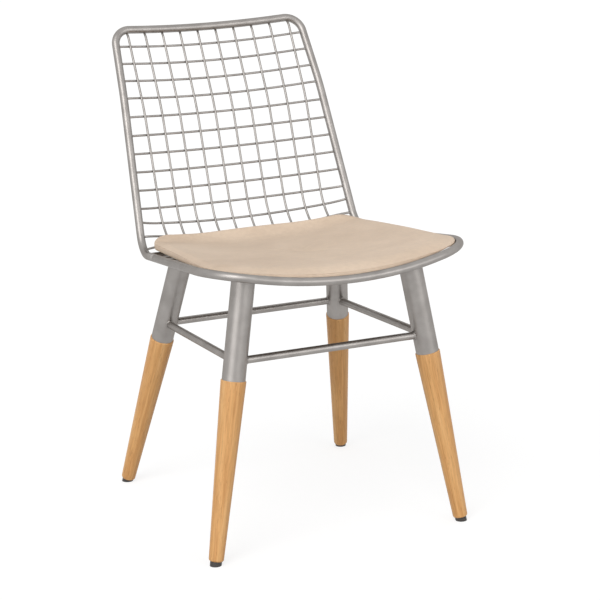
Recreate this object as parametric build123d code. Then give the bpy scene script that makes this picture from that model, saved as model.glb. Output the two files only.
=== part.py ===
"""Outdoor side chair: bent tube hoops, welded wire shell, splayed steel and timber legs, thin cushion.

Units are millimetres. +Z is up, the chair faces -Y, and the floor is z = 0.
"""
import math
import os

from build123d import *

# Perimeter tube: corner points of the right half, from the front to the top, and its bend radii
TUBE_D = 13.5
FRONT_POINT = Vector(0, -318, 447)
FRONT_CORNER = Vector(229, -266, 485)
REAR_BEND = Vector(200, 119, 436)
BACK_KNEE = Vector(183, 229, 684)
TOP_CORNER = Vector(174, 294, 795)
TOP_POINT = Vector(0, 306, 783)
FRONT_R = 560
FRONT_CORNER_R = 84
REAR_BEND_R = 46
BACK_KNEE_R = 400
TOP_CORNER_R = 30
TOP_R = 1450
HOOP_JOINT = 80
TUBE_SIDES = 12
TUBE_CHORD = 60

# Wire shell: side profile of the cross wires at the middle of the chair, as (y, z) corners
SHELL_TOP = (307.5, 786)
SHELL_KNEE = (235, 655)
SHELL_BEND = (152, 417)
SHELL_FRONT = (-300, 457)
SHELL_KNEE_R = 300
SHELL_BEND_R = 110
SHELL_DISH_R = 800
WIRE_D = 4
WIRE_SIDES = 6
WIRE_CHORD = 45
WIRE_BEND_CHORD = 22
SHELL_STEP = 3
LONG_WIRES = 10
LONG_WIRE_PITCH = 33.6
CROSS_WIRE_PITCH = 31.7
FIRST_CROSS_WIRE = 31
BACK_CROSS_WIRES = 11
FRONT_CROSS_WIRE_MARGIN = 48
EDGE_BEND_START = 160

# Seat bearers under the shell, which carry the legs
BEARER_D = 10
BEARER_SIDES = 10

# Legs: axis of each pair at the floor and at LEG_UPPER_Z, as (x, y) on the right side
LEG_UPPER_Z = 405
FRONT_FOOT = (221, -225)
FRONT_UPPER = (153, -197)
REAR_FOOT = (210, 229)
REAR_UPPER = (147, 93)
TIMBER_END = 300
TIMBER_TOP_D = 41
TIMBER_FOOT_D = 24.5
TIMBER_SHOULDER = 2.5
TIMBER_FOOT_CHAMFER = 1.5
TIMBER_SIDES = 24
TENON_LENGTH = 52
SLEEVE_D = 38
SLEEVE_WALL = 1.5
CAP_THICKNESS = 3
CAP_SADDLE = 0.5
GLIDE_HEIGHT = 7
GLIDE_D = 19
GLIDE_PIN_D = 5
GLIDE_PIN_LENGTH = 16
PLUG_THICKNESS = 10
PLUG_GAP = 6
BOLT_D = 8
BOLT_DEPTH = 45

# Stretchers, by the height of their axes where they meet the legs
STRETCHER_D = 12.5
FRONT_STRETCHER_Z = 324.5
REAR_STRETCHER_Z = 310

# Cushion
CUSHION_THICKNESS = 15
CUSHION_RAIL_GAP = 4
CUSHION_BRIM_START = 195
CUSHION_TOP_DISH_R = 1200
CUSHION_REAR = (0, 139)
CUSHION_REAR_CORNER = (197, 118)
CUSHION_REAR_R = 600
CUSHION_REAR_CORNER_R = 70
CUSHION_CHORD = 30
COVER_WALL = 1

# Clearances
WELD_GAP = 0.1
FIT_GAP = 0.2
SOFT_GAP = 0.3

# A bearer lies in the place of a cross wire, with its top level with the wires' tops
BEARER_DROP = (BEARER_D - WIRE_D) / 2

# Steps of a search by halving, and the most that a bend turns from one chord to the next, in degrees
HALVINGS = 32
CHORD_TURN = 10


def mirrored(point):
    """The same point on the other side of the chair."""
    return Vector(-point.X, point.Y, point.Z)


def bend_points(before, corner, after, radius):
    """Start, middle and end of the tangent arc that rounds a corner."""
    back = (before - corner).normalized()
    ahead = (after - corner).normalized()
    half = math.acos(max(-1.0, min(1.0, back.dot(ahead)))) / 2
    reach = radius / math.tan(half)
    inward = (back + ahead).normalized()
    middle = corner + inward * (radius / math.sin(half) - radius)
    return corner + back * reach, middle, corner + ahead * reach


def chorded(start, middle, end, chord):
    """Points along an arc, in steps limited by their length and by how far they turn."""
    arc = ThreePointArc(start, middle, end)
    turn = math.degrees(arc.length / arc.radius)
    steps = max(2, math.ceil(arc.length / chord), math.ceil(turn / CHORD_TURN))
    return [arc.position_at(step / steps) for step in range(steps + 1)]


def bent_path(points, radii, chord):
    """Straight runs with their corners rounded in chords; radii belong to the inner corners."""
    route = [points[0]]
    for before, corner, after, radius in zip(points, points[1:], points[2:], radii):
        route += chorded(*bend_points(before, corner, after, radius), chord)
    return Wire.make_polygon(route + [points[-1]], close=False)


def round_bar(diameter, sides):
    """Section of a bar, drawn with a few flat sides."""
    return RegularPolygon(diameter / 2, sides, rotation=180 / sides)


def rod(path, section):
    """A bar of one section along a wire, mitred where it has corners."""
    start = Plane(path.position_at(0), z_dir=path.tangent_at(0))
    return sweep(start * section, path=path, transition=Transition.RIGHT)


def straight_rod(start, end, diameter):
    """A round bar between two points."""
    return Plane(start, z_dir=end - start) * Cylinder(
        diameter / 2, (end - start).length, align=(Align.CENTER, Align.CENTER, Align.MIN)
    )


def save(node, shape):
    """Write one node; a group keeps its solids apart."""
    export_step(shape, f"parts/{node}.step")


# Perimeter hoops
def hoop_paths():
    """Centre lines of the back hoop and the seat hoop, both from left to right."""
    side = (FRONT_CORNER - REAR_BEND).normalized()
    joint = REAR_BEND + side * HOOP_JOINT
    right = [joint, REAR_BEND, BACK_KNEE, TOP_CORNER]
    back_points = [mirrored(point) for point in right] + [TOP_POINT] + right[::-1]
    back_radii = [REAR_BEND_R, BACK_KNEE_R, TOP_CORNER_R, TOP_R, TOP_CORNER_R, BACK_KNEE_R, REAR_BEND_R]
    seat_points = [mirrored(joint), mirrored(FRONT_CORNER), FRONT_POINT, FRONT_CORNER, joint]
    seat_radii = [FRONT_CORNER_R, FRONT_R, FRONT_CORNER_R]
    return bent_path(back_points, back_radii, TUBE_CHORD), bent_path(seat_points, seat_radii, TUBE_CHORD)


def point_where(path, measure, low, high):
    """The point of a path between two parameters where a measure passes zero."""
    sign = measure(path.position_at(low)) > 0
    for _ in range(HALVINGS):
        middle = (low + high) / 2
        if (measure(path.position_at(middle)) > 0) == sign:
            low = middle
        else:
            high = middle
    return path.position_at(low)


# Wire shell
def shell_points(offset):
    """Corners and radii of the side profile, moved towards the sitter by an offset."""
    corners = [SHELL_TOP, SHELL_KNEE, SHELL_BEND, SHELL_FRONT]
    runs = [(Vector(0, *end) - Vector(0, *start)).normalized() for start, end in zip(corners, corners[1:])]
    normals = [Vector(0, run.Z, -run.Y) for run in runs]
    moved = [Vector(0, *corners[0]) + normals[0] * offset]
    for corner, before, after in zip(corners[1:-1], normals, normals[1:]):
        share = 1 + before.dot(after)
        moved.append(Vector(0, *corner) + (before + after) * (offset / share))
    moved.append(Vector(0, *corners[-1]) + normals[-1] * offset)
    return moved, [SHELL_KNEE_R + offset, SHELL_BEND_R - offset]


def dish(x, radius=SHELL_DISH_R):
    """Rise of the dished shell at a distance from the middle of the chair."""
    return radius - math.sqrt(radius**2 - x**2)


def welded_end(rail, start, end, diameter):
    """The point nearest to a bar's end at which its flat end face clears the rail by the weld gap."""
    direction = (end - start).normalized()
    low, high = 0.0, TUBE_D * 2
    for _ in range(HALVINGS // 2):
        back = (low + high) / 2
        place = Plane(end - direction * back, z_dir=direction)
        if (place * Circle(diameter / 2)).edge().distance(rail) < TUBE_D / 2 + WELD_GAP:
            low = back
        else:
            high = back
    return end - direction * high


def long_wire(x, back_path, seat_path):
    """One wire from the top of the back, round the bend and forward to the front rail."""
    points, radii = shell_points(dish(x) + WIRE_D + WELD_GAP)
    points = [point + Vector(x, 0, 0) for point in points]
    top = point_where(back_path, lambda point: point.X - x, 0.3, 0.7)
    front = point_where(seat_path, lambda point: point.X - x, 0.2, 0.8)
    up = (points[0] - points[1]).normalized()
    forward = (points[-1] - points[-2]).normalized()
    top = points[1] + up * (top - points[1]).dot(up)
    front = points[-2] + forward * (front - points[-2]).dot(forward)
    points[0] = welded_end(back_path, points[1], top, WIRE_D)
    points[-1] = welded_end(seat_path, points[-2], front, WIRE_D)
    return rod(bent_path(points, radii, WIRE_BEND_CHORD), round_bar(WIRE_D, WIRE_SIDES))


def shell_plane(profile, distance):
    """The plane square to the shell profile; its X is the chair's X and its Y points at the sitter."""
    share = distance / profile.length
    along = profile.tangent_at(share)
    return Plane(profile.position_at(share), x_dir=(1, 0, 0), z_dir=along)


def cross_points(plane, rail, drop=0.0):
    """A dished line in a shell plane, in chords: a wide arc whose ends bend to meet the rail."""
    radius = SHELL_DISH_R + drop
    side = Vector(EDGE_BEND_START, dish(EDGE_BEND_START, radius) - drop)
    lean = math.asin(EDGE_BEND_START / radius)
    bend = TangentArc(side, Vector(rail.X, rail.Y), tangent=(math.cos(lean), math.sin(lean)))
    right = chorded(side, bend.position_at(0.5), bend.position_at(1), WIRE_BEND_CHORD)
    middle = chorded(mirrored(side), Vector(0, -drop), side, WIRE_CHORD)
    points = [mirrored(point) for point in right[:0:-1]] + middle + right[1:]
    return [plane.from_local_coords(point) for point in points]


def cross_wire(plane, rail, hoop):
    """One cross wire, from rail to rail."""
    points = cross_points(plane, rail)
    points[-1] = welded_end(hoop, points[-2], points[-1], WIRE_D)
    points[0] = mirrored(points[-1])
    return rod(Wire.make_polygon(points, close=False), round_bar(WIRE_D, WIRE_SIDES))


def rail_in_plane(plane, path, low, high):
    """Where a hoop passes through a shell plane, in that plane's own coordinates."""
    return plane.to_local_coords(point_where(path, lambda point: plane.to_local_coords(point).Z, low, high))


def rail_at(plane, back_path, seat_path):
    """The right-hand rail in a shell plane, and whichever hoop crosses it."""
    joint_side = plane.to_local_coords(back_path.position_at(1)).Z
    if joint_side < 0:
        return rail_in_plane(plane, seat_path, 0.6, 1), seat_path
    return rail_in_plane(plane, back_path, 0.55, 1), back_path


# Legs
def leg_axis(foot, upper, side):
    """Floor point and upward direction of one leg."""
    floor = Vector(side * foot[0], foot[1], 0)
    return floor, (Vector(side * upper[0], upper[1], LEG_UPPER_Z) - floor).normalized()


def station_of(profile, point):
    """Distance along the shell profile of the square plane that passes through a point."""
    low, high = 0.0, profile.length
    for _ in range(HALVINGS):
        middle = (low + high) / 2
        if shell_plane(profile, middle).to_local_coords(point).Z > 0:
            low = middle
        else:
            high = middle
    return low


def bearer_station(profile, floor, direction):
    """Station of the bearer that a leg axis meets, and the distance to it along that axis."""
    low, high = 0.0, TOP_CORNER.Z
    for _ in range(HALVINGS):
        distance = (low + high) / 2
        point = floor + direction * distance
        station = station_of(profile, point)
        place = shell_plane(profile, station).to_local_coords(point)
        if place.Y < dish(place.X, SHELL_DISH_R + BEARER_DROP) - BEARER_DROP:
            low = distance
        else:
            high = distance
    return station, distance


def at_height(floor, direction, z):
    """The point of a leg axis at a height."""
    return floor + direction * (z / direction.Z)


def along_leg(floor, direction, distance):
    """A plane square to the leg, at a distance from the floor along its axis."""
    return Plane(floor + direction * distance, x_dir=(1, 0, 0), z_dir=direction)


def timber_leg(place):
    """A tapered leg end with its tenon, the hole for the bolt and the hole for the glide's pin."""
    foot = TIMBER_FOOT_D / 2
    top = TIMBER_TOP_D / 2
    tenon_d = SLEEVE_D - 2 * SLEEVE_WALL - 2 * FIT_GAP
    tenon_top = TIMBER_END + TENON_LENGTH
    outline = [
        (GLIDE_HEIGHT, foot - TIMBER_FOOT_CHAMFER),
        (GLIDE_HEIGHT + TIMBER_FOOT_CHAMFER, foot),
        (TIMBER_END - TIMBER_SHOULDER, top),
        (TIMBER_END, top - TIMBER_SHOULDER / 2),
    ]
    sections = [Plane.XY.offset(z) * round_bar(2 * radius, TIMBER_SIDES) for z, radius in outline]
    body = loft(sections, ruled=True)
    body += ring(Plane.XY.offset(TIMBER_END), tenon_d, 0, TENON_LENGTH)
    body -= ring(Plane.XY.offset(tenon_top - BOLT_DEPTH), BOLT_D + 2 * FIT_GAP, 0, BOLT_DEPTH)
    body -= ring(Plane.XY.offset(GLIDE_HEIGHT), GLIDE_PIN_D + 2 * FIT_GAP, 0, GLIDE_PIN_LENGTH)
    return place * body


def ring(place, outer, inner, height):
    """A tube, or a disc where the inner diameter is zero, standing on a plane."""
    base = (Align.CENTER, Align.CENTER, Align.MIN)
    solid = Cylinder(outer / 2, height, align=base)
    if inner:
        solid -= Cylinder(inner / 2, height, align=base)
    return place * solid


def glide(floor, direction):
    """A foot pad with its pin, cut flat at the floor."""
    pad = ring(along_leg(floor, direction, -GLIDE_HEIGHT), GLIDE_D, 0, 2 * GLIDE_HEIGHT - WELD_GAP)
    pin = ring(along_leg(floor, direction, 0), GLIDE_PIN_D, 0, GLIDE_HEIGHT + GLIDE_PIN_LENGTH - FIT_GAP)
    return split(pad + pin, bisect_by=Plane.XY, keep=Keep.TOP)


# Cushion
def cushion_section(plane, rise, thickness):
    """Section across the pad: dished like the shell below, with level brims, and less dished above."""
    reach = CUSHION_BRIM_START
    half = FRONT_CORNER.X
    low = rise + dish(reach, SHELL_DISH_R - rise)
    high = rise + thickness + dish(half, CUSHION_TOP_DISH_R)
    under = ThreePointArc((-reach, low), (0, rise), (reach, low))
    over = ThreePointArc((-half, high), (0, rise + thickness), (half, high))
    right = Polyline((reach, low), (half, low), (half, high))
    left = mirror(right, about=Plane.YZ)
    return plane * make_face(under.edges() + right.edges() + over.edges() + left.edges())


def cushion_outline(inset):
    """Plan of the pad: the rail's front and sides, and a rear edge that bows back."""
    right = [Vector(FRONT_CORNER.X, FRONT_CORNER.Y), Vector(*CUSHION_REAR_CORNER)]
    points = [Vector(0, FRONT_POINT.Y)] + right + [Vector(*CUSHION_REAR)]
    points += [mirrored(point) for point in right[::-1]]
    side_radii = [FRONT_CORNER_R, CUSHION_REAR_CORNER_R]
    radii = [FRONT_R] + side_radii + [CUSHION_REAR_R] + side_radii[::-1]
    edges = []
    bends = [
        bend_points(points[index - 1], corner, points[(index + 1) % len(points)], radius)
        for index, (corner, radius) in enumerate(zip(points, radii))
    ]
    for bend, following in zip(bends, bends[1:] + bends[:1]):
        edges += [ThreePointArc(*bend), Line(bend[2], following[0])]
    return offset(make_face([edge.edge() for edge in edges]), -inset)


def cushion_body(inset):
    """A pad inside the rail that lies on the shell and turns up with its bend."""
    wall = inset - CUSHION_RAIL_GAP
    rise = WIRE_D * 1.5 + WELD_GAP + SOFT_GAP + wall
    column = extrude(cushion_outline(TUBE_D / 2 + inset), BACK_KNEE.Z)
    points, radii = shell_points(0)
    ahead = points[3] + (points[3] - points[2]).normalized() * TUBE_D
    path = bent_path([ahead, *points[2:0:-1]], radii[1:], CUSHION_CHORD)
    start = Plane(path.position_at(0), x_dir=(-1, 0, 0), z_dir=path.tangent_at(0))
    section = cushion_section(start, rise, CUSHION_THICKNESS - 2 * wall)
    return column & sweep(section, path=path, transition=Transition.RIGHT)


# Assembly
def build_shell(profile, paths, bearers):
    """Write the long wires singly and the cross wires in two groups, leaving the bearers' places free."""
    for number in range(LONG_WIRES):
        x = (number - (LONG_WIRES - 1) / 2) * LONG_WIRE_PITCH
        save(f"long_wire_{number + 1:02d}", long_wire(x, *paths))
    count = int((profile.length - FIRST_CROSS_WIRE - FRONT_CROSS_WIRE_MARGIN) / CROSS_WIRE_PITCH) + 1
    groups = {"back_cross_wires": [], "seat_cross_wires": []}
    for number in range(count):
        station = FIRST_CROSS_WIRE + number * CROSS_WIRE_PITCH
        if any(abs(station - bearer) < CROSS_WIRE_PITCH / 2 for bearer in bearers):
            continue
        plane = shell_plane(profile, station)
        wire = cross_wire(plane, *rail_at(plane, *paths))
        groups["back_cross_wires" if number < BACK_CROSS_WIRES else "seat_cross_wires"].append(wire)
    for node, wires in groups.items():
        save(node, Compound(wires))


def build_leg(leg, floor, direction, reach, bearer_room, groups):
    """Write a leg's sleeve and timber end, add its small pieces to the groups, return the sleeve's room."""
    bore = SLEEVE_D - 2 * SLEEVE_WALL
    cap_bottom = reach - BEARER_D / 2 + CAP_SADDLE - CAP_THICKNESS
    tenon_top = TIMBER_END + TENON_LENGTH
    plug_bottom = tenon_top + PLUG_GAP
    bolt_bottom = tenon_top - BOLT_DEPTH + FIT_GAP
    sleeve = along_leg(floor, direction, TIMBER_END)
    cap = along_leg(floor, direction, cap_bottom)
    plug = along_leg(floor, direction, plug_bottom)
    bolt = along_leg(floor, direction, bolt_bottom)
    save(f"leg_sleeve_{leg}", ring(sleeve, SLEEVE_D, bore, cap_bottom - TIMBER_END))
    save(f"timber_leg_{leg}", timber_leg(along_leg(floor, direction, 0)))
    groups["sleeve_caps"].append(ring(cap, SLEEVE_D, 0, CAP_THICKNESS) - bearer_room)
    groups["threaded_plugs"].append(
        ring(plug, bore - 2 * WELD_GAP, BOLT_D + 2 * FIT_GAP, PLUG_THICKNESS)
    )
    groups["hanger_bolts"].append(ring(bolt, BOLT_D, 0, plug_bottom + PLUG_THICKNESS - bolt_bottom))
    groups["foot_glides"].append(glide(floor, direction))
    return ring(sleeve, SLEEVE_D + 2 * WELD_GAP, 0, cap_bottom - TIMBER_END)


def build_stretchers(axes, rooms):
    """Write the four bars between the sleeves, coped at their ends."""
    heights = {"front": FRONT_STRETCHER_Z, "rear": REAR_STRETCHER_Z}
    runs = {
        "front": ("front_left", "front_right"),
        "rear": ("rear_left", "rear_right"),
        "left": ("rear_left", "front_left"),
        "right": ("rear_right", "front_right"),
    }
    for name, legs in runs.items():
        ends = [at_height(*axes[leg], heights[leg.split("_")[0]]) for leg in legs]
        bar = straight_rod(*ends, STRETCHER_D)
        save(f"stretcher_{name}", bar - rooms[legs[0]] - rooms[legs[1]])


def build_cushion():
    """Write the cover, hollow for its filling, and the foam inside it."""
    cover = cushion_body(CUSHION_RAIL_GAP) - cushion_body(CUSHION_RAIL_GAP + COVER_WALL)
    save("cushion_cover", cover)
    save("cushion_foam", cushion_body(CUSHION_RAIL_GAP + COVER_WALL + SOFT_GAP))


def build():
    """Make every node and write it."""
    os.makedirs("parts", exist_ok=True)
    paths = hoop_paths()
    save("back_hoop", rod(paths[0], round_bar(TUBE_D, TUBE_SIDES)))
    save("seat_hoop", rod(paths[1], round_bar(TUBE_D, TUBE_SIDES)))

    profile = bent_path(*shell_points(0), SHELL_STEP)
    axes = {}
    rooms = {}
    stations = []
    groups = {"sleeve_caps": [], "threaded_plugs": [], "hanger_bolts": [], "foot_glides": []}
    for end, foot, upper in (("front", FRONT_FOOT, FRONT_UPPER), ("rear", REAR_FOOT, REAR_UPPER)):
        station, reach = bearer_station(profile, *leg_axis(foot, upper, 1))
        stations.append(station)
        plane = shell_plane(profile, station)
        rail, hoop = rail_at(plane, *paths)
        bearer = Wire.make_polygon(cross_points(plane, rail, BEARER_DROP), close=False)
        room = rod(hoop, round_bar(TUBE_D + 2 * WELD_GAP, TUBE_SIDES))
        save(f"{end}_bearer", rod(bearer, round_bar(BEARER_D, BEARER_SIDES)) - room)
        bearer_room = rod(bearer, round_bar(BEARER_D + 2 * WELD_GAP, BEARER_SIDES))
        for name, side in (("left", -1), ("right", 1)):
            leg = f"{end}_{name}"
            axes[leg] = leg_axis(foot, upper, side)
            rooms[leg] = build_leg(leg, *axes[leg], reach, bearer_room, groups)
    for node, solids in groups.items():
        save(node, Compound([solid.solid() for solid in solids]))

    build_shell(profile, paths, stations)
    build_stretchers(axes, rooms)
    build_cushion()


if __name__ == "__main__":
    build()
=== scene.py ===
"""Looks of the outdoor side chair: round wires and tubes, turned timber, welds and a sewn cushion.

Lengths are metres. Values written in millimetres are multiplied by MM.
"""
import math

import bpy
from mathutils import Matrix, Vector


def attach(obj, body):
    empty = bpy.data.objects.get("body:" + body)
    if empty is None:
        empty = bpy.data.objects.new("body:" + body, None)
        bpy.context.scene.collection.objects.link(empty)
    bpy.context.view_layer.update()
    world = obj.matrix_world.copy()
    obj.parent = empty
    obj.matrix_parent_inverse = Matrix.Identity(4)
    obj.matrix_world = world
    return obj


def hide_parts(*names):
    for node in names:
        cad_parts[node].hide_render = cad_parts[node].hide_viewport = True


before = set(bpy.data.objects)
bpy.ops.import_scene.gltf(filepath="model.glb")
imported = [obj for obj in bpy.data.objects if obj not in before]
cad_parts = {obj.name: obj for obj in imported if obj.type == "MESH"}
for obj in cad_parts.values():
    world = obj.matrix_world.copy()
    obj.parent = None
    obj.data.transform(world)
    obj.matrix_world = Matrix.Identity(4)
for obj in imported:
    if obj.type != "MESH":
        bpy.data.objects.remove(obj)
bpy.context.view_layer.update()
MM = 0.001

# Perimeter tube, right half from the front to the top
TUBE_R = 6.75 * MM
FRONT_POINT = Vector((0, -318, 447)) * MM
FRONT_CORNER = Vector((229, -266, 485)) * MM
REAR_BEND = Vector((200, 119, 436)) * MM
BACK_KNEE = Vector((183, 229, 684)) * MM
TOP_CORNER = Vector((174, 294, 795)) * MM
TOP_POINT = Vector((0, 306, 783)) * MM
FRONT_R = 560 * MM
FRONT_CORNER_R = 84 * MM
REAR_BEND_R = 46 * MM
BACK_KNEE_R = 400 * MM
TOP_CORNER_R = 30 * MM
TOP_R = 1450 * MM
HOOP_JOINT = 80 * MM

# Wire shell: side profile of the cross wires at the middle of the chair
SHELL_TOP = Vector((0, 307.5, 786)) * MM
SHELL_KNEE = Vector((0, 235, 655)) * MM
SHELL_BEND = Vector((0, 152, 417)) * MM
SHELL_FRONT = Vector((0, -300, 457)) * MM
SHELL_KNEE_R = 300 * MM
SHELL_BEND_R = 110 * MM
DISH_R = 800 * MM
WIRE_R = 2 * MM
WELD_GAP = 0.1 * MM
LONG_WIRES = 10
LONG_PITCH = 33.6 * MM
CROSS_PITCH = 31.7 * MM
FIRST_CROSS = 31 * MM
BACK_CROSS_WIRES = 11
FRONT_MARGIN = 48 * MM
EDGE_BEND_START = 160 * MM
HOOK_LENGTH = 16 * MM
HOOK_R = 14 * MM
HOOK_BACK = 4 * MM
BEARER_R = 5 * MM
BEARER_DROP = BEARER_R - WIRE_R
PIP_R = 1.9 * MM

# Legs
LEG_UPPER_Z = 405 * MM
LEGS = {
    "front_left": (Vector((-221, -225, 0)) * MM, Vector((-153, -197, 405)) * MM),
    "front_right": (Vector((221, -225, 0)) * MM, Vector((153, -197, 405)) * MM),
    "rear_left": (Vector((-210, 229, 0)) * MM, Vector((-147, 93, 405)) * MM),
    "rear_right": (Vector((210, 229, 0)) * MM, Vector((147, 93, 405)) * MM),
}
SLEEVE_R = 19 * MM
STRETCHER_R = 6.25 * MM
STRETCHERS = (
    ("front_left", "front_right"),
    ("rear_left", "rear_right"),
    ("rear_left", "front_left"),
    ("rear_right", "front_right"),
)
STRETCHER_Z = {"front": 324.5 * MM, "rear": 310 * MM}
WELD_BEAD_R = 1.5 * MM

# Timber leg ends, with lengths along the leg from the floor
TIMBER_FOOT = 7 * MM
TIMBER_FOOT_R = 12.25 * MM
TIMBER_END = 300 * MM
TIMBER_TOP_R = 20.5 * MM
TENON_END = 352 * MM
TENON_R = 17.3 * MM
FOOT_ROUND = 3.2 * MM
SHOULDER_ROUND = 1.6 * MM
GRAIN_TURN = 1.3

# Cushion
CUSHION_INSET = TUBE_R + 0.4 * MM
CUSHION_REAR = Vector((0, 139, 0)) * MM
CUSHION_REAR_CORNER = Vector((197, 118, 0)) * MM
CUSHION_REAR_R = 600 * MM
CUSHION_REAR_CORNER_R = 54 * MM
CUSHION_UNDER = 6.4 * MM
CUSHION_OVER = 20.6 * MM
CUSHION_BRIM = 178 * MM
CUSHION_TOP_DISH_R = 1200 * MM
CUSHION_FRONT_TAPER = 4.5 * MM
CUSHION_TAPER_WIDTH = 40 * MM
CUSHION_TAPER_Y = (60 * MM, 250 * MM)
CUSHION_REAR_LIFT = 3.2 * MM
CUSHION_LIFT_Y = (-160 * MM, 60 * MM)
CUSHION_POINTS = 360

# Rings of the cushion: shares of the inner plan, insets of its flat faces in millimetres,
# and the side wall, its seam and its shoulder as (inset in millimetres, level)
INNER_SHARES = [0.02] + [step / 10 for step in range(1, 10)]
FLAT_INSETS = (40, 34, 28, 22, 16, 11, 7)
WALL = [(4, 0.0), (2.4, 0.02), (1.4, 0.05), (0.7, 0.10), (0.2, 0.18), (0, 0.3), (0, 0.45), (0, 0.60)]
SEAM = [(0.05, 0.66), (0.35, 0.70), (0.9, 0.73), (0.35, 0.76), (0.1, 0.80)]
SHOULDER = [(0.3, 0.85), (0.8, 0.90), (1.6, 0.94), (2.8, 0.97), (4.6, 0.99)]

# Cloth that fills the cushion
PRESSURE = 4
SWELL_LIMIT = 2.5 * MM
CLOTH_FRAMES = 20
CLOTH_QUALITY = 6
CLOTH_MASS = 0.3
CLOTH_STIFFNESS = 12
CLOTH_BENDING = 0.6

# Fineness of the round forms
COARSE_TURN = math.radians(3)
FINE_TURN = math.radians(1)
LEAST_STEPS = 3
DISH_STEPS = 8
SEARCH_STEPS = 30
TUBE_SIDES = 24
BEARER_SIDES = 20
WIRE_SIDES = 12
BEAD_STEPS = 36
BEAD_SIDES = 8
PIP_RINGS = 6
PIP_SIDES = 8
TIMBER_SIDES = 64
FOOT_STEPS = 6
BODY_STEPS = 12
SHOULDER_STEPS = 5

# Colours
WHITE = (1.0, 1.0, 1.0)
STEEL_DARK = (0.292, 0.274, 0.260)
STEEL_LIGHT = (0.352, 0.332, 0.316)
STEEL_EDGE = (0.75, 0.73, 0.71, 1.0)
STEEL_ROUGHNESS = 0.40
ZINC_DARK = (0.40, 0.41, 0.43)
ZINC_LIGHT = (0.50, 0.51, 0.53)
ZINC_ROUGHNESS = 0.40
TIMBER_DARK = (0.60, 0.285, 0.095)
TIMBER_MIDDLE = (0.75, 0.405, 0.152)
TIMBER_LIGHT = (0.81, 0.475, 0.203)
TIMBER_STREAK = (0.80, 0.76, 0.70)
TIMBER_PORE = (0.62, 0.52, 0.42)
LEATHER_DARK = (0.655, 0.51, 0.385)
LEATHER_LIGHT = (0.74, 0.59, 0.455)
LEATHER_FLECK = (0.92, 0.91, 0.90)
PLASTIC_DARK = (0.030, 0.027, 0.024)
PLASTIC_LIGHT = (0.050, 0.045, 0.041)

# Grain, as waves per metre across, across and along a leg
BANDS = (150, 150, 5)
FIBRES = (900, 900, 14)
PORES = (1500, 1500, 55)

# Usual spread of a noise value, and the colour sockets of a Mix node
NOISE_LOW = 0.3
NOISE_HIGH = 0.7
MIX_FIRST = 6
MIX_SECOND = 7
MIX_RESULT = 2

# Studio; lights are (name, side they come from, strength, spread in degrees)
FLOOR_GREY = 0.30
FLOOR_GLOW = 0.76
FLOOR_HALF = 40.0
FLOOR_Z = -0.0002
WORLD_LEVEL = 0.6
LIGHTS = (
    ("key", (-2.4, -2.2, 3.0), 1.2, 40),
    ("fill", (1.2, -2.8, 0.5), 0.8, 45),
    ("side", (-2.8, -1.8, 0.35), 0.8, 45),
)

# Camera, from the photograph's perspective
CAMERA_AT = Vector((-1342.7, -3163.4, 1240.9)) * MM
CAMERA_AHEAD = Vector((0.3868, 0.8879, -0.2492))
CAMERA_RIGHT = Vector((0.9139, -0.4053, -0.0254))
CAMERA_LENS = 126.27
CAMERA_SENSOR = 36.0
CAMERA_REACH = 200.0


def mirrored(point):
    """The same point on the other side of the chair."""
    return Vector((-point.x, point.y, point.z))


def dish(x, radius):
    """Rise of a dished surface at a distance from its middle."""
    return radius - math.sqrt(radius**2 - x**2)


def corner_arc(before, corner, after, radius, turn):
    """Points along the tangent arc that rounds a corner."""
    back = (before - corner).normalized()
    ahead = (after - corner).normalized()
    half = back.angle(ahead) / 2
    centre = corner + (back + ahead).normalized() * (radius / math.sin(half))
    start = corner + back * (radius / math.tan(half)) - centre
    end = corner + ahead * (radius / math.tan(half)) - centre
    swing = math.pi - 2 * half
    side = (end - start * math.cos(swing)) / math.sin(swing)
    steps = max(LEAST_STEPS, math.ceil(swing / turn))
    angles = [swing * step / steps for step in range(steps + 1)]
    return [centre + start * math.cos(angle) + side * math.sin(angle) for angle in angles]


def rounded(points, radii, turn=COARSE_TURN):
    """A route of straight runs with its inner corners rounded."""
    route = [points[0]]
    for before, corner, after, radius in zip(points, points[1:], points[2:], radii):
        route += corner_arc(before, corner, after, radius, turn)
    return route + [points[-1]]


def new_object(name, vertices, faces, material, slot):
    """A smooth mesh object with one material in a slot; the slot argument is not used."""
    mesh = bpy.data.meshes.new(name)
    mesh.from_pydata(vertices, [], faces)
    mesh.validate()
    mesh.shade_smooth()
    mesh.materials.append(material)
    piece = bpy.data.objects.new(name, mesh)
    bpy.context.scene.collection.objects.link(piece)
    return piece


def bar_mesh(routes, radius, sides, closed=False):
    """Vertices and faces of round bars that follow routes, with flat ends or joined into rings."""
    vertices = []
    faces = []
    for route in routes:
        first = len(vertices)
        count = len(route)
        across = None
        for index, point in enumerate(route):
            before = route[index - 1] if closed or index else point
            after = route[(index + 1) % count] if closed or index < count - 1 else point
            ahead = (after - before).normalized()
            guess = across or ahead.orthogonal()
            across = (guess - ahead * guess.dot(ahead)).normalized()
            up = ahead.cross(across)
            for side in range(sides):
                angle = 2 * math.pi * side / sides
                vertices.append(point + (across * math.cos(angle) + up * math.sin(angle)) * radius)
        for index in range(count if closed else count - 1):
            low = first + index * sides
            high = first + (index + 1) % count * sides
            for side in range(sides):
                follow = (side + 1) % sides
                faces.append((low + side, low + follow, high + follow, high + side))
        if not closed:
            faces.append(tuple(range(first + sides - 1, first - 1, -1)))
            faces.append(tuple(range(first + (count - 1) * sides, first + count * sides)))
    return vertices, faces


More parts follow.
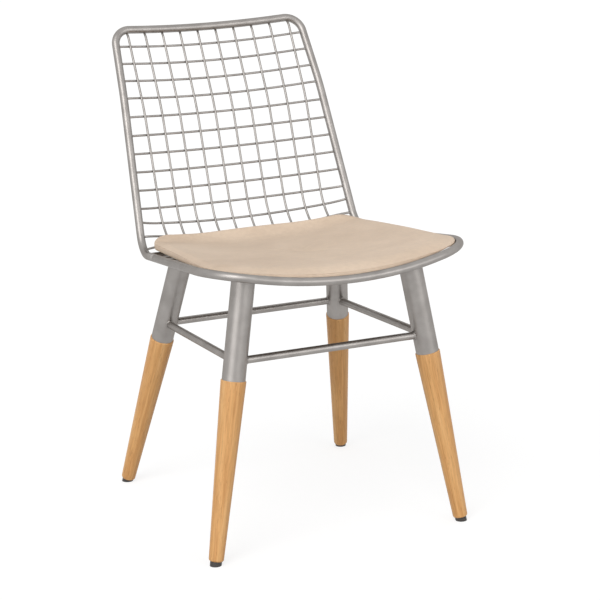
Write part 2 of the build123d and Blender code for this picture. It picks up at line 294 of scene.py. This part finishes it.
# Routes of the hoops and the shell
def hoop_routes():
    """Centre lines of the back hoop and the seat hoop, both from left to right."""
    joint = REAR_BEND + (FRONT_CORNER - REAR_BEND).normalized() * HOOP_JOINT
    right = [joint, REAR_BEND, BACK_KNEE, TOP_CORNER]
    back = [mirrored(point) for point in right] + [TOP_POINT] + right[::-1]
    back_radii = [REAR_BEND_R, BACK_KNEE_R, TOP_CORNER_R, TOP_R, TOP_CORNER_R, BACK_KNEE_R, REAR_BEND_R]
    seat = [mirrored(joint), mirrored(FRONT_CORNER), FRONT_POINT, FRONT_CORNER, joint]
    seat_radii = [FRONT_CORNER_R, FRONT_R, FRONT_CORNER_R]
    return rounded(back, back_radii, FINE_TURN), rounded(seat, seat_radii, FINE_TURN)


def shell_corners(offset):
    """Corners and radii of the side profile, moved towards the sitter."""
    corners = [SHELL_TOP, SHELL_KNEE, SHELL_BEND, SHELL_FRONT]
    runs = [(end - start).normalized() for start, end in zip(corners, corners[1:])]
    normals = [Vector((0, run.z, -run.y)) for run in runs]
    moved = [corners[0] + normals[0] * offset]
    for corner, before, after in zip(corners[1:-1], normals, normals[1:]):
        moved.append(corner + (before + after) * (offset / (1 + before.dot(after))))
    moved.append(corners[-1] + normals[-1] * offset)
    return moved, [SHELL_KNEE_R + offset, SHELL_BEND_R - offset]


PROFILE = rounded(*shell_corners(0), FINE_TURN)
PROFILE_RUNS = [(end - start).length for start, end in zip(PROFILE, PROFILE[1:])]
PROFILE_LENGTH = sum(PROFILE_RUNS)


def shell_plane(distance):
    """Origin, direction along the shell and direction to the sitter at a distance along the profile."""
    left = distance
    for start, end, run in zip(PROFILE, PROFILE[1:], PROFILE_RUNS):
        if left <= run:
            break
        left -= run
    along = (end - start).normalized()
    return start + along * left, along, Vector((0, along.z, -along.y))


def rail_crossing(plane, hoops):
    """Where the right-hand rail passes through a shell plane, as (x, rise)."""
    origin, along, rise = plane
    found = []
    for route in hoops:
        for start, end in zip(route, route[1:]):
            before = (start - origin).dot(along)
            after = (end - origin).dot(along)
            if start.x > EDGE_BEND_START and before * after <= 0 and before != after:
                point = start.lerp(end, before / (before - after))
                found.append((abs((point - origin).dot(rise)), point))
    point = min(found, key=lambda entry: entry[0])[1]
    return point.x, (point - origin).dot(rise)


def tangent_arc(start, lean, end, steps):
    """Points of the arc in a plane that leaves a start at an angle and ends at a point."""
    chord = math.hypot(end[0] - start[0], end[1] - start[1])
    turn = math.atan2(end[1] - start[1], end[0] - start[0]) - lean
    points = []
    for step in range(1, steps + 1):
        part = step / steps
        reach = chord * math.sin(turn * part) / math.sin(turn)
        angle = lean + turn * part
        points.append((start[0] + reach * math.cos(angle), start[1] + reach * math.sin(angle)))
    return points


def cross_route(plane, hoops, drop=0.0):
    """A dished line from rail to rail, whose ends bend to meet the tube."""
    radius = DISH_R + drop
    reach = math.asin(EDGE_BEND_START / radius)
    angles = [reach * step / DISH_STEPS for step in range(DISH_STEPS + 1)]
    half = [(radius * math.sin(angle), radius * (1 - math.cos(angle)) - drop) for angle in angles]
    half += tangent_arc(half[-1], reach, rail_crossing(plane, hoops), DISH_STEPS)
    local = [(-x, rise) for x, rise in half[:0:-1]] + half
    origin, _, up = plane
    return [origin + Vector((x, 0, 0)) + up * rise for x, rise in local]


def rail_above(x, route):
    """The point of a hoop's front or top run at a distance from the middle."""
    for start, end in zip(route, route[1:]):
        if start.x <= x < end.x:
            return start.lerp(end, (x - start.x) / (end.x - start.x))


def long_route(x, back_route, seat_route):
    """One wire from the top tube, hooked forward under it, round the bend to the front rail."""
    corners, radii = shell_corners(dish(x, DISH_R) + 2 * WIRE_R + WELD_GAP)
    corners = [corner + Vector((x, 0, 0)) for corner in corners]
    top = rail_above(x, [point for point in back_route if point.z > SHELL_KNEE.z])
    front = rail_above(x, seat_route)
    up = (corners[0] - corners[1]).normalized()
    top += Vector((0, HOOK_BACK, 0))
    forward = (corners[-1] - corners[-2]).normalized()
    hook = corners[1] + up * ((top - corners[1]).dot(up) - HOOK_LENGTH)
    end = corners[-2] + forward * ((front - corners[-2]).dot(forward))
    return rounded([top, hook, corners[1], corners[2], end], [HOOK_R, *radii])


def leg_direction(leg):
    """Upward direction of a leg."""
    floor, upper = LEGS[leg]
    return (upper - floor).normalized()


def at_height(leg, z):
    """The point of a leg's axis at a height."""
    direction = leg_direction(leg)
    return LEGS[leg][0] + direction * (z / direction.z)


def station_of(point):
    """Distance along the profile of the square plane through a point."""
    low, high = 0.0, PROFILE_LENGTH
    for _ in range(SEARCH_STEPS):
        middle = (low + high) / 2
        origin, along, _ = shell_plane(middle)
        if (point - origin).dot(along) > 0:
            low = middle
        else:
            high = middle
    return low


def bearer_station(leg):
    """Station of the bearer that a leg's axis meets."""
    low, high = LEG_UPPER_Z / 2, TOP_POINT.z
    for _ in range(SEARCH_STEPS):
        middle = (low + high) / 2
        point = at_height(leg, middle)
        origin, _, rise = shell_plane(station_of(point))
        if (point - origin).dot(rise) < dish(point.x, DISH_R + BEARER_DROP) - BEARER_DROP:
            low = middle
        else:
            high = middle
    return station_of(at_height(leg, low))


# Materials
def shaded(name):
    """A new material with its node tree, its main shader and object coordinates."""
    material = bpy.data.materials.new(name)
    material.use_nodes = True
    tree = material.node_tree
    coordinates = tree.nodes.new("ShaderNodeTexCoord").outputs["Object"]
    return material, tree, tree.nodes["Principled BSDF"], coordinates


def stretched(tree, coordinates, scale):
    """Coordinates with a scale of their own on each axis."""
    mapping = tree.nodes.new("ShaderNodeMapping")
    mapping.inputs["Scale"].default_value = scale
    tree.links.new(coordinates, mapping.inputs["Vector"])
    return mapping.outputs["Vector"]


def noise(tree, coordinates, scale, detail, distortion=0.0):
    """A noise texture's value."""
    node = tree.nodes.new("ShaderNodeTexNoise")
    node.inputs["Scale"].default_value = scale
    node.inputs["Detail"].default_value = detail
    node.inputs["Distortion"].default_value = distortion
    tree.links.new(coordinates, node.inputs["Vector"])
    return node.outputs["Fac"]


def ramp(tree, value, stops):
    """A colour ramp over a value; stops are (position, colour)."""
    node = tree.nodes.new("ShaderNodeValToRGB")
    elements = node.color_ramp.elements
    while len(elements) < len(stops):
        elements.new(0.5)
    for element, (position, colour) in zip(elements, stops):
        element.position = position
        element.color = (*colour, 1.0)
    tree.links.new(value, node.inputs["Fac"])
    return node.outputs["Color"]


def ranged(tree, value, low, high, into_low, into_high):
    """A value moved from one range into another."""
    node = tree.nodes.new("ShaderNodeMapRange")
    node.inputs["From Min"].default_value = low
    node.inputs["From Max"].default_value = high
    node.inputs["To Min"].default_value = into_low
    node.inputs["To Max"].default_value = into_high
    tree.links.new(value, node.inputs["Value"])
    return node.outputs["Result"]


def multiplied(tree, factor, first, second):
    """A colour multiplied by a constant share of another."""
    node = tree.nodes.new("ShaderNodeMix")
    node.data_type = "RGBA"
    node.blend_type = "MULTIPLY"
    node.inputs["Factor"].default_value = factor
    tree.links.new(first, node.inputs[MIX_FIRST])
    tree.links.new(second, node.inputs[MIX_SECOND])
    return node.outputs[MIX_RESULT]


def bumped(tree, shader, height, depth, strength):
    """Relief from a height, added to any relief the shader already has."""
    node = tree.nodes.new("ShaderNodeBump")
    node.inputs["Strength"].default_value = strength
    node.inputs["Distance"].default_value = depth
    tree.links.new(height, node.inputs["Height"])
    if shader.inputs["Normal"].links:
        tree.links.new(shader.inputs["Normal"].links[0].from_socket, node.inputs["Normal"])
    tree.links.new(node.outputs["Normal"], shader.inputs["Normal"])


def steel(name, dark, light, rough):
    """Satin metal with a fine scratch finish and a slight cloudiness."""
    material, tree, shader, coordinates = shaded(name)
    clouds = noise(tree, coordinates, scale=40, detail=2)
    fine = noise(tree, coordinates, scale=700, detail=1)
    colour = ramp(tree, clouds, [(NOISE_LOW, dark), (NOISE_HIGH, light)])
    tree.links.new(colour, shader.inputs["Base Color"])
    roughness = ranged(tree, fine, NOISE_LOW, NOISE_HIGH, rough - 0.05, rough + 0.07)
    tree.links.new(roughness, shader.inputs["Roughness"])
    shader.inputs["Metallic"].default_value = 1.0
    shader.inputs["Specular Tint"].default_value = STEEL_EDGE
    bumped(tree, shader, fine, depth=0.008 * MM, strength=0.5)
    return material


def timber(name, place):
    """Oiled hardwood with straight grain along the Z of a place, growth bands and fine pores."""
    material, tree, shader, coordinates = shaded(name)
    leg = tree.nodes.new("ShaderNodeMapping")
    leg.vector_type = "TEXTURE"
    leg.inputs["Location"].default_value = place.to_translation()
    leg.inputs["Rotation"].default_value = place.to_euler()
    tree.links.new(coordinates, leg.inputs["Vector"])
    coordinates = leg.outputs["Vector"]
    bands = noise(tree, stretched(tree, coordinates, BANDS), scale=1, detail=2, distortion=0.6)
    fibres = noise(tree, stretched(tree, coordinates, FIBRES), scale=1, detail=2)
    pores = noise(tree, stretched(tree, coordinates, PORES), scale=1, detail=1)
    colour = ramp(tree, bands, [(0.25, TIMBER_DARK), (0.5, TIMBER_MIDDLE), (0.75, TIMBER_LIGHT)])
    streaks = ramp(tree, fibres, [(0.3, TIMBER_STREAK), (0.6, WHITE)])
    dots = ramp(tree, pores, [(0.28, TIMBER_PORE), (0.36, WHITE)])
    grained = multiplied(tree, 0.85, colour, streaks)
    tree.links.new(multiplied(tree, 0.8, grained, dots), shader.inputs["Base Color"])
    roughness = ranged(tree, fibres, NOISE_LOW, NOISE_HIGH, 0.44, 0.56)
    tree.links.new(roughness, shader.inputs["Roughness"])
    bumped(tree, shader, fibres, depth=0.08 * MM, strength=0.6)
    bumped(tree, shader, pores, depth=0.08 * MM, strength=0.4)
    return material


def leather(name):
    """Fine-grained tan leather with soft tonal clouds."""
    material, tree, shader, coordinates = shaded(name)
    clouds = noise(tree, coordinates, scale=9, detail=2, distortion=0.4)
    mottle = noise(tree, coordinates, scale=120, detail=2)
    cells = tree.nodes.new("ShaderNodeTexVoronoi")
    cells.feature = "DISTANCE_TO_EDGE"
    cells.inputs["Scale"].default_value = 620
    tree.links.new(coordinates, cells.inputs["Vector"])
    colour = ramp(tree, clouds, [(NOISE_LOW, LEATHER_DARK), (NOISE_HIGH, LEATHER_LIGHT)])
    flecks = ramp(tree, mottle, [(NOISE_LOW, LEATHER_FLECK), (NOISE_HIGH, WHITE)])
    tree.links.new(multiplied(tree, 1.0, colour, flecks), shader.inputs["Base Color"])
    roughness = ranged(tree, mottle, NOISE_LOW, NOISE_HIGH, 0.52, 0.66)
    tree.links.new(roughness, shader.inputs["Roughness"])
    shader.inputs["Specular IOR Level"].default_value = 0.35
    creases = ranged(tree, cells.outputs["Distance"], 0.0, 0.22, 0.0, 1.0)
    bumped(tree, shader, creases, depth=0.10 * MM, strength=0.6)
    bumped(tree, shader, mottle, depth=0.25 * MM, strength=0.4)
    return material


def plastic(name):
    """Dark moulded plastic with a light texture."""
    material, tree, shader, coordinates = shaded(name)
    fine = noise(tree, coordinates, scale=900, detail=3)
    colour = ramp(tree, fine, [(NOISE_LOW, PLASTIC_DARK), (NOISE_HIGH, PLASTIC_LIGHT)])
    tree.links.new(colour, shader.inputs["Base Color"])
    roughness = ranged(tree, fine, NOISE_LOW, NOISE_HIGH, 0.45, 0.62)
    tree.links.new(roughness, shader.inputs["Roughness"])
    bumped(tree, shader, fine, depth=0.05 * MM, strength=0.5)
    return material


BRUSHED = steel("brushed_steel", STEEL_DARK, STEEL_LIGHT, STEEL_ROUGHNESS)
ZINC = steel("zinc_steel", ZINC_DARK, ZINC_LIGHT, ZINC_ROUGHNESS)
LEATHER = leather("cushion_leather")
DARK = plastic("dark_plastic")

for node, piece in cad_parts.items():
    if node in ("threaded_plugs", "hanger_bolts"):
        finish = ZINC
    elif node == "foot_glides":
        finish = DARK
    else:
        finish = BRUSHED
    for place in piece.material_slots:
        place.material = finish


# Hoops, wires and bearers
def stand_in(name, routes, radius, sides, *nodes):
    """Round steel bars in place of flat-sided nodes."""
    piece = new_object(name, *bar_mesh(routes, radius, sides), BRUSHED, "brushed_steel")
    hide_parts(*nodes)
    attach(piece, "root")


HOOPS = hoop_routes()
stand_in("hoop_back", HOOPS[:1], TUBE_R, TUBE_SIDES, "back_hoop")
stand_in("hoop_seat", HOOPS[1:], TUBE_R, TUBE_SIDES, "seat_hoop")

long_x = [(number - (LONG_WIRES - 1) / 2) * LONG_PITCH for number in range(LONG_WIRES)]
for number, x in enumerate(long_x, 1):
    route = long_route(x, *HOOPS)
    stand_in(f"wire_{number:02d}", [route], WIRE_R, WIRE_SIDES, f"long_wire_{number:02d}")

bearers = {end: bearer_station(f"{end}_right") for end in ("front", "rear")}
for end, station in bearers.items():
    route = cross_route(shell_plane(station), HOOPS, BEARER_DROP)
    stand_in(f"bearer_{end}", [route], BEARER_R, BEARER_SIDES, f"{end}_bearer")

back_lines = []
seat_lines = []
pips = []
count = int((PROFILE_LENGTH - FIRST_CROSS - FRONT_MARGIN) / CROSS_PITCH) + 1
for number in range(count):
    station = FIRST_CROSS + number * CROSS_PITCH
    if any(abs(station - bearer) < CROSS_PITCH / 2 for bearer in bearers.values()):
        continue
    plane = shell_plane(station)
    group = back_lines if number < BACK_CROSS_WIRES else seat_lines
    group.append(cross_route(plane, HOOPS))
    pips += [plane[0] + Vector((x, 0, 0)) + plane[2] * (dish(x, DISH_R) + WIRE_R) for x in long_x]
stand_in("wires_across_back", back_lines, WIRE_R, WIRE_SIDES, "back_cross_wires")
stand_in("wires_across_seat", seat_lines, WIRE_R, WIRE_SIDES, "seat_cross_wires")


# Welds
def ball_mesh(centres, radius, rings, sides):
    """Vertices and faces of small balls."""
    vertices = []
    faces = []
    for centre in centres:
        first = len(vertices)
        vertices += [centre + Vector((0, 0, radius)), centre - Vector((0, 0, radius))]
        for ring in range(1, rings):
            tilt = math.pi * ring / rings
            for side in range(sides):
                turn = 2 * math.pi * side / sides
                flat = radius * math.sin(tilt)
                step = Vector((flat * math.cos(turn), flat * math.sin(turn), radius * math.cos(tilt)))
                vertices.append(centre + step)
        for side in range(sides):
            follow = (side + 1) % sides
            faces.append((first, first + 2 + side, first + 2 + follow))
            low = first + 2 + (rings - 2) * sides
            faces.append((first + 1, low + follow, low + side))
            for ring in range(rings - 2):
                upper = first + 2 + ring * sides
                lower = upper + sides
                faces.append((upper + side, lower + side, lower + follow, upper + follow))
    return vertices, faces


def weld_ring(start, end, sleeve_foot, sleeve_up):
    """The line where a stretcher's surface meets the surface of a sleeve."""
    ahead = (end - start).normalized()
    across = ahead.orthogonal().normalized()
    up = ahead.cross(across)
    line = []
    for step in range(BEAD_STEPS):
        angle = 2 * math.pi * step / BEAD_STEPS
        offset = start + (across * math.cos(angle) + up * math.sin(angle)) * STRETCHER_R - sleeve_foot
        flat = offset - sleeve_up * offset.dot(sleeve_up)
        run = ahead - sleeve_up * ahead.dot(sleeve_up)
        middle = -flat.dot(run) / run.length_squared
        nearest = (flat + run * middle).length_squared
        reach = middle + math.sqrt((SLEEVE_R**2 - nearest) / run.length_squared)
        line.append(sleeve_foot + offset + ahead * reach)
    return line


beads = []
for ends in STRETCHERS:
    points = [at_height(leg, STRETCHER_Z[leg.split("_")[0]]) for leg in ends]
    for leg, start, end in ((ends[0], *points), (ends[1], *points[::-1])):
        beads.append(weld_ring(start, end, LEGS[leg][0], leg_direction(leg)))
for name, shape in (
    ("welds_stretchers", bar_mesh(beads, WELD_BEAD_R, BEAD_SIDES, closed=True)),
    ("welds_wires", ball_mesh(pips, PIP_R, PIP_RINGS, PIP_SIDES)),
):
    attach(new_object(name, *shape, BRUSHED, "brushed_steel"), "root")


# Turned timber
def timber_outline():
    """Heights and radii of a leg end, from the foot to the top of its tenon."""
    outline = [(TIMBER_FOOT, 0.0)]
    for step in range(FOOT_STEPS + 1):
        angle = math.pi / 2 * step / FOOT_STEPS
        outline.append(
            (
                TIMBER_FOOT + FOOT_ROUND * (1 - math.cos(angle)),
                TIMBER_FOOT_R - FOOT_ROUND * (1 - math.sin(angle)),
            )
        )
    foot_z = TIMBER_FOOT + FOOT_ROUND
    body = TIMBER_END - SHOULDER_ROUND - foot_z
    for step in range(1, BODY_STEPS + 1):
        part = step / BODY_STEPS
        outline.append((foot_z + body * part, TIMBER_FOOT_R + (TIMBER_TOP_R - TIMBER_FOOT_R) * part))
    for step in range(1, SHOULDER_STEPS + 1):
        angle = math.pi / 2 * step / SHOULDER_STEPS
        outline.append(
            (
                TIMBER_END - SHOULDER_ROUND * (1 - math.sin(angle)),
                TIMBER_TOP_R - SHOULDER_ROUND * (1 - math.cos(angle)),
            )
        )
    return outline + [(TIMBER_END, TENON_R), (TENON_END, TENON_R), (TENON_END, 0.0)]


def lathe_mesh(outline, sides):
    """Vertices and faces of a turned form about Z, whose outline starts and ends on the axis."""
    vertices = [Vector((0, 0, outline[0][0])), Vector((0, 0, outline[-1][0]))]
    faces = []
    rings = outline[1:-1]
    for z, radius in rings:
        for side in range(sides):
            angle = 2 * math.pi * side / sides
            vertices.append(Vector((radius * math.cos(angle), radius * math.sin(angle), z)))
    top = 2 + (len(rings) - 1) * sides
    for side in range(sides):
        follow = (side + 1) % sides
        faces.append((0, 2 + follow, 2 + side))
        faces.append((1, top + side, top + follow))
        for ring in range(len(rings) - 1):
            low = 2 + ring * sides
            high = low + sides
            faces.append((low + side, low + follow, high + follow, high + side))
    return vertices, faces


for number, (leg, (floor, _)) in enumerate(LEGS.items()):
    direction = leg_direction(leg)
    turned = direction.to_track_quat("Z", "Y").to_matrix().to_4x4()
    place = Matrix.Translation(floor) @ turned @ Matrix.Rotation(GRAIN_TURN * number, 4, "Z")
    vertices, faces = lathe_mesh(timber_outline(), TIMBER_SIDES)
    vertices = [place @ vertex for vertex in vertices]
    wood = timber(f"oiled_timber_{leg}", place)
    piece = new_object(f"timber_{leg}", vertices, faces, wood, "oiled_timber")
    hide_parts(f"timber_leg_{leg}")
    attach(piece, "root")


# Cushion
def cushion_outline():
    """Evenly spaced points round the pad's plan, with the direction inwards at each."""
    right = [Vector((FRONT_CORNER.x, FRONT_CORNER.y, 0)), CUSHION_REAR_CORNER]
    left = [mirrored(point) for point in right[::-1]]
    corners = [Vector((0, FRONT_POINT.y, 0)), *right, CUSHION_REAR, *left]
    side_radii = [FRONT_CORNER_R, CUSHION_REAR_CORNER_R]
    radii = [FRONT_R, *side_radii, CUSHION_REAR_R, *side_radii[::-1]]
    route = []
    for index, (corner, radius) in enumerate(zip(corners, radii)):
        after = corners[(index + 1) % len(corners)]
        route += corner_arc(corners[index - 1], corner, after, radius, FINE_TURN)
    route.append(route[0])
    runs = [(end - start).length for start, end in zip(route, route[1:])]
    spacing = sum(runs) / CUSHION_POINTS
    points = []
    passed = 0.0
    for start, end, run in zip(route, route[1:], runs):
        while len(points) < CUSHION_POINTS and len(points) * spacing <= passed + run:
            points.append(start.lerp(end, (len(points) * spacing - passed) / run))
        passed += run
    outline = []
    for index, point in enumerate(points):
        ahead = (points[(index + 1) % len(points)] - points[index - 1]).normalized()
        outline.append((point, Vector((-ahead.y, ahead.x, 0))))
    return outline


def seat_height(y, rise):
    """Height of a surface that follows the shell's seat and bend at a rise above it."""
    forward = (SHELL_FRONT - SHELL_BEND).normalized()
    backward = (SHELL_KNEE - SHELL_BEND).normalized()
    half = forward.angle(backward) / 2
    up = Vector((0, forward.z, -forward.y))
    tangent = SHELL_BEND + forward * (SHELL_BEND_R / math.tan(half))
    centre = tangent + up * SHELL_BEND_R
    radius = SHELL_BEND_R - rise
    if y < centre.y - up.y * radius:
        start = tangent + up * rise
        return start.z + (start.y - y) * forward.z / -forward.y
    return centre.z - math.sqrt(radius**2 - (y - centre.y) ** 2)


def eased(value, low, high):
    """A smooth step from 0 to 1 between two values."""
    part = min(1.0, max(0.0, (value - low) / (high - low)))
    return part * part * (3 - 2 * part)


def cushion_point(place, edge, level):
    """A point of the pad over a place in plan, from level 0 underneath to level 1 on top.

    The top thins towards the front edge and rides up a little in the rear corners.
    """
    under = CUSHION_UNDER + dish(min(abs(place.x), CUSHION_BRIM), DISH_R - CUSHION_UNDER)
    over = CUSHION_OVER + dish(place.x, CUSHION_TOP_DISH_R)
    rim = 1 - eased(edge, 0, CUSHION_TAPER_WIDTH)
    over -= CUSHION_FRONT_TAPER * rim * eased(-place.y, *CUSHION_TAPER_Y)
    over += CUSHION_REAR_LIFT * (place.x / CUSHION_BRIM) ** 2 * eased(place.y, *CUSHION_LIFT_Y)
    return Vector((place.x, place.y, seat_height(place.y, under + (over - under) * level)))


def cushion_rings():
    """Rings of the pad from the middle underneath to the middle on top, and how many reach the seam's end."""
    outline = cushion_outline()
    inner = FLAT_INSETS[0] * MM

    def inset(distance, level):
        return [
            cushion_point(point + inward * (CUSHION_INSET + distance * MM), distance * MM, level)
            for point, inward in outline
        ]

    def scaled(share, level):
        ring = [point + inward * (CUSHION_INSET + inner) for point, inward in outline]
        middle = sum(ring, Vector()) / len(ring)
        return [cushion_point(middle.lerp(point, share), inner, level) for point in ring]

    rings = [scaled(share, 0) for share in INNER_SHARES] + [inset(distance, 0) for distance in FLAT_INSETS]
    rings += [inset(*step) for step in WALL + SEAM]
    held = len(rings)
    rings += [inset(*step) for step in SHOULDER]
    rings += [inset(distance, 1) for distance in FLAT_INSETS[::-1]]
    rings += [scaled(share, 1) for share in INNER_SHARES[::-1]]
    return rings, held


def swell(piece, held):
    """Fill the pad by a short cloth simulation, keep its movement small and apply it."""
    piece.vertex_groups.new(name="held").add(held, 1.0, "REPLACE")
    rest = [vertex.co.copy() for vertex in piece.data.vertices]
    cloth = piece.modifiers.new("fill", "CLOTH")
    cloth.settings.quality = CLOTH_QUALITY
    cloth.settings.mass = CLOTH_MASS
    cloth.settings.tension_stiffness = CLOTH_STIFFNESS
    cloth.settings.compression_stiffness = CLOTH_STIFFNESS
    cloth.settings.bending_stiffness = CLOTH_BENDING
    cloth.settings.use_pressure = True
    cloth.settings.uniform_pressure_force = PRESSURE
    cloth.settings.vertex_group_mass = "held"
    cloth.settings.effector_weights.gravity = 0
    cloth.collision_settings.use_self_collision = False
    cloth.point_cache.frame_start = 1
    cloth.point_cache.frame_end = CLOTH_FRAMES
    scene = bpy.context.scene
    for step in range(1, CLOTH_FRAMES + 1):
        scene.frame_set(step)
    filled = piece.evaluated_get(bpy.context.evaluated_depsgraph_get()).to_mesh()
    moves = [vertex.co - start for vertex, start in zip(filled.vertices, rest)]
    piece.modifiers.remove(cloth)
    scene.frame_set(1)
    for vertex, start, move in zip(piece.data.vertices, rest, moves):
        excess = max(1.0, move.length / SWELL_LIMIT)
        vertex.co = start + move / excess
    piece.data.update()


rings, held_rings = cushion_rings()
vertices = [point for ring in rings for point in ring]
faces = [tuple(range(CUSHION_POINTS - 1, -1, -1))]
for ring in range(len(rings) - 1):
    low = ring * CUSHION_POINTS
    high = low + CUSHION_POINTS
    for side in range(CUSHION_POINTS):
        follow = (side + 1) % CUSHION_POINTS
        faces.append((low + side, low + follow, high + follow, high + side))
faces.append(tuple(range((len(rings) - 1) * CUSHION_POINTS, len(rings) * CUSHION_POINTS)))
cushion = new_object("seat_cushion", vertices, faces, LEATHER, "cushion_leather")
swell(cushion, list(range(held_rings * CUSHION_POINTS)))
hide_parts("cushion_cover", "cushion_foam")
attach(cushion, "root")


# Studio
def light_path_white(tree):
    """1 for rays that see the background straight, by reflection or through glass, and 0 for others."""
    path = tree.nodes.new("ShaderNodeLightPath")
    value = path.outputs["Is Camera Ray"]
    for name in ("Is Glossy Ray", "Is Transmission Ray"):
        most = tree.nodes.new("ShaderNodeMath")
        most.operation = "MAXIMUM"
        tree.links.new(value, most.inputs[0])
        tree.links.new(path.outputs[name], most.inputs[1])
        value = most.outputs["Value"]
    return value


def studio_floor():
    """A wide pale floor that shows white and keeps the chair's shadow."""
    material, tree, shader, _ = shaded("studio_floor")
    shader.inputs["Base Color"].default_value = (FLOOR_GREY, FLOOR_GREY, FLOOR_GREY, 1.0)
    shader.inputs["Roughness"].default_value = 1.0
    shader.inputs["Specular IOR Level"].default_value = 0.0
    shader.inputs["Emission Color"].default_value = (*WHITE, 1.0)
    glow = ranged(tree, light_path_white(tree), 0.0, 1.0, 0.0, FLOOR_GLOW)
    tree.links.new(glow, shader.inputs["Emission Strength"])
    mesh = bpy.data.meshes.new("studio_floor")
    corners = [(FLOOR_HALF * x, FLOOR_HALF * y, FLOOR_Z) for x, y in ((-1, -1), (1, -1), (1, 1), (-1, 1))]
    mesh.from_pydata(corners, [], [(0, 1, 2, 3)])
    mesh.materials.append(material)
    floor = bpy.data.objects.new("studio_floor", mesh)
    bpy.context.scene.collection.objects.link(floor)


def soft_light(name, place, strength, spread):
    """A broad, even light that comes from the side of a place."""
    lamp = bpy.data.lights.new(name, "SUN")
    lamp.energy = strength
    lamp.angle = math.radians(spread)
    holder = bpy.data.objects.new(name, lamp)
    holder.location = place
    holder.rotation_euler = (-Vector(place)).to_track_quat("-Z", "Y").to_euler()
    bpy.context.scene.collection.objects.link(holder)


def studio_world():
    """White for rays that see it, and a softer level for the light it sheds."""
    world = bpy.data.worlds.new("studio")
    world.use_nodes = True
    tree = world.node_tree
    background = tree.nodes["Background"]
    background.inputs["Color"].default_value = (*WHITE, 1.0)
    level = ranged(tree, light_path_white(tree), 0.0, 1.0, WORLD_LEVEL, 1.0)
    tree.links.new(level, background.inputs["Strength"])
    bpy.context.scene.world = world


def photo_camera():
    """The camera at the photograph's place, direction and lens."""
    camera = bpy.data.cameras.new("camera")
    camera.lens = CAMERA_LENS
    camera.sensor_width = CAMERA_SENSOR
    camera.clip_end = CAMERA_REACH
    holder = bpy.data.objects.new("camera", camera)
    ahead = CAMERA_AHEAD.normalized()
    right = (CAMERA_RIGHT - ahead * CAMERA_RIGHT.dot(ahead)).normalized()
    up = right.cross(ahead)
    turned = Matrix((right, up, -ahead)).transposed().to_4x4()
    holder.matrix_world = Matrix.Translation(CAMERA_AT) @ turned
    bpy.context.scene.collection.objects.link(holder)
    bpy.context.scene.camera = holder


studio_floor()
studio_world()
for light in LIGHTS:
    soft_light(*light)
photo_camera()
bpy.context.scene.view_settings.view_transform = "Standard"
